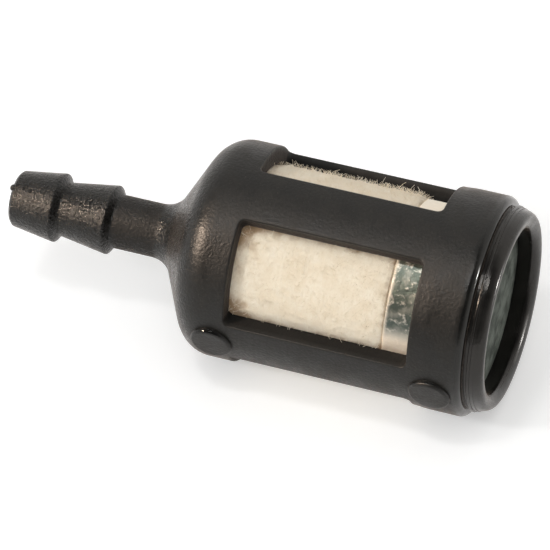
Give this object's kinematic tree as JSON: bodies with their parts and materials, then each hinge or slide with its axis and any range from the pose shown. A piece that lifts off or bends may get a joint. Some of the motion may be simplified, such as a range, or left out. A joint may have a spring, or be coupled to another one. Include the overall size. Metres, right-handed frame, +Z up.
{
  "type": "fuel filter",
  "caption": "Weighted in-tank fuel pick-up filter: barbed hose stem, windowed black cage, felt sleeve on a drained core, steel weight and end ring.",
  "frame": {"origin": "centre of the hose tip's mouth, on the axis of the filter", "axes": "+X along the axis from the hose tip to the weighted end, +Z up with the filter lying on its side"},
  "size_m": [0.0415, 0.0179, 0.0174],
  "materials": {
    "nylon": "fine mould texture, slightly satin",
    "ring_nylon": "glossy, heat-formed",
    "core_nylon": "natural",
    "screen": "fine woven nylon",
    "felt": "pressed wool felt",
    "steel": "zinc plated, mottled"
  },
  "bodies": {
    "root": {"housing": "nylon", "support_core": "core_nylon", "core_screen": "screen", "felt_sleeve": "felt", "weight": "steel", "end_ring": "ring_nylon"}
  },
  "joints": []
}
